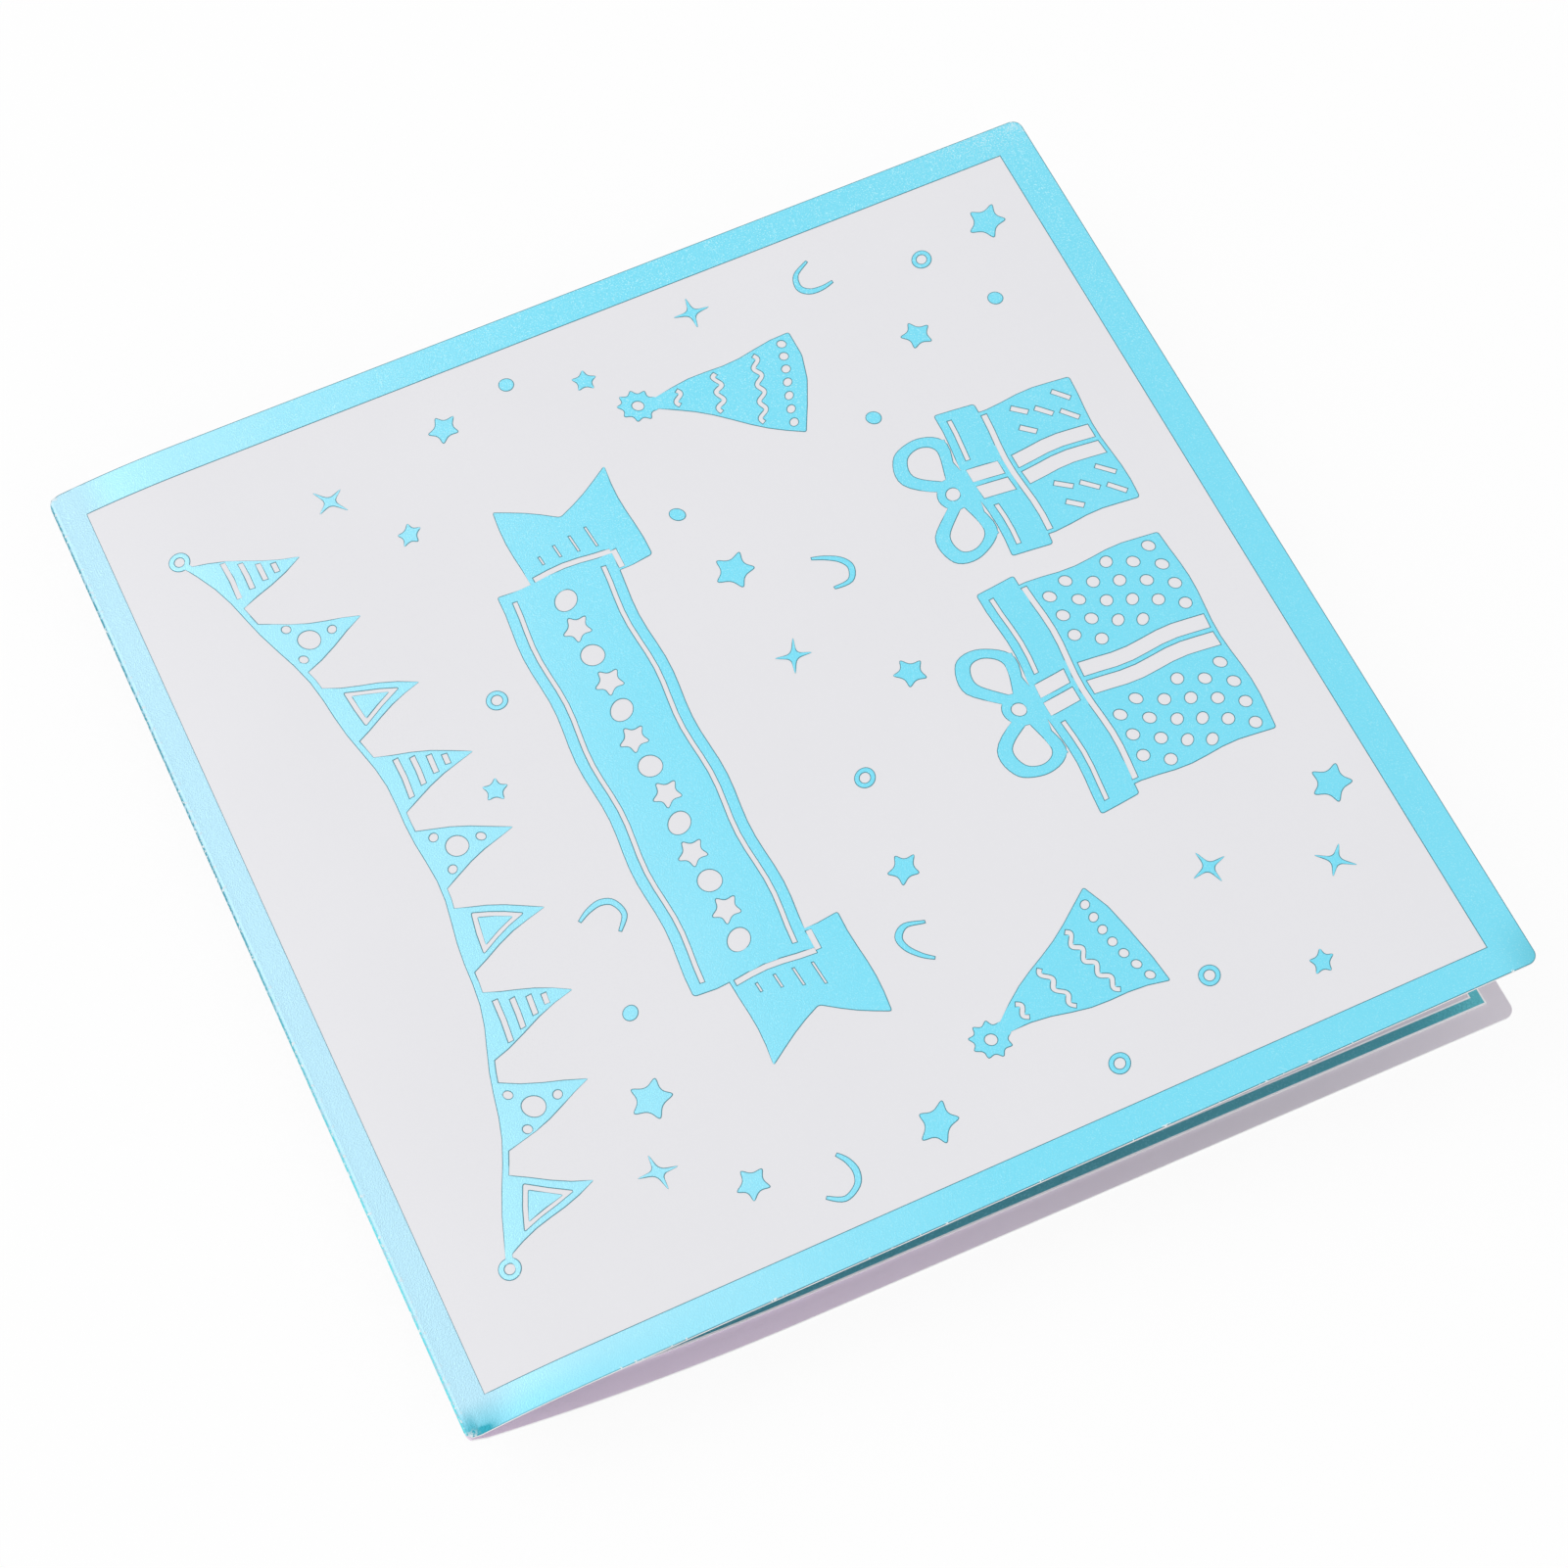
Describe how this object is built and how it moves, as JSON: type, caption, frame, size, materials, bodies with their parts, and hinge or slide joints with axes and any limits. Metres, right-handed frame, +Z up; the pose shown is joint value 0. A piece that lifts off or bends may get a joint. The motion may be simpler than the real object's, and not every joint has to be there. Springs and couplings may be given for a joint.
{
  "type": "pop up card",
  "caption": "Square folded greeting card lying sprung a little open, with a foil-bordered front, an inner sheet and a pop-up of stacked boxes folded flat inside.",
  "frame": {"origin": "centre of the footprint, on the surface that the card lies on", "axes": "+Z up from the back panel to the front panel, +X from the fold to the free edges, +Y along the fold"},
  "size_m": [0.15, 0.15, 0.0165],
  "materials": {
    "cover_board": "satin",
    "liner_paper": "matte",
    "turquoise_foil": "satin",
    "box_paper": "matte",
    "bow_paper": "matte"
  },
  "bodies": {
    "root": {"cover": "cover_board", "liner": "liner_paper", "border_foil": "turquoise_foil", "liner_frame_foil": "turquoise_foil", "garland_foil": "turquoise_foil", "banner_foil": "turquoise_foil", "gift_foil_large": "turquoise_foil", "gift_foil_small": "turquoise_foil", "party_hat_foil_left": "turquoise_foil", "party_hat_foil_right": "turquoise_foil", "confetti_foil": "turquoise_foil", "box_tier_1": "box_paper", "box_tier_2": "box_paper", "box_tier_3": "box_paper", "bow": "bow_paper"}
  },
  "joints": []
}
